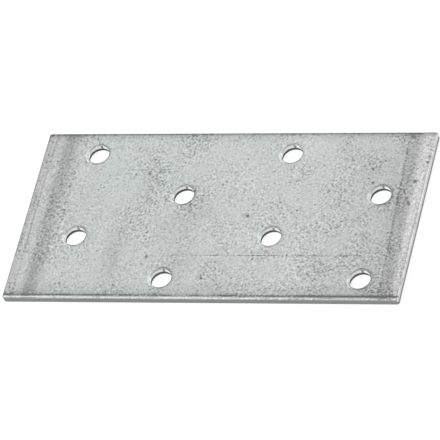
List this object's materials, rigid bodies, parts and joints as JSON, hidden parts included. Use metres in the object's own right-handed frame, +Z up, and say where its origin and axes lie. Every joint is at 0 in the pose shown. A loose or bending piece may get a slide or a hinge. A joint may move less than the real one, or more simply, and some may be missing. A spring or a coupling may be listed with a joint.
{
  "type": "mending plate",
  "caption": "Flat rectangular galvanised steel mending plate with staggered rows of plain round screw holes, sheared edges and no countersinks.",
  "frame": {"origin": "middle of the underside, on the surface that the plate lies on", "axes": "+X along the plate's length, +Y across its width, +Z up through its thickness towards the rolled rims, the side that the punch came down on"},
  "size_m": [0.08, 0.04, 0.0015],
  "materials": {
    "galvanised_steel": "hot-dip galvanised sheet with a fine mottled zinc grain, dull light grey; bright straight lands and darker torn metal on the cut walls"
  },
  "bodies": {
    "root": {"plate": "galvanised_steel"}
  },
  "joints": []
}
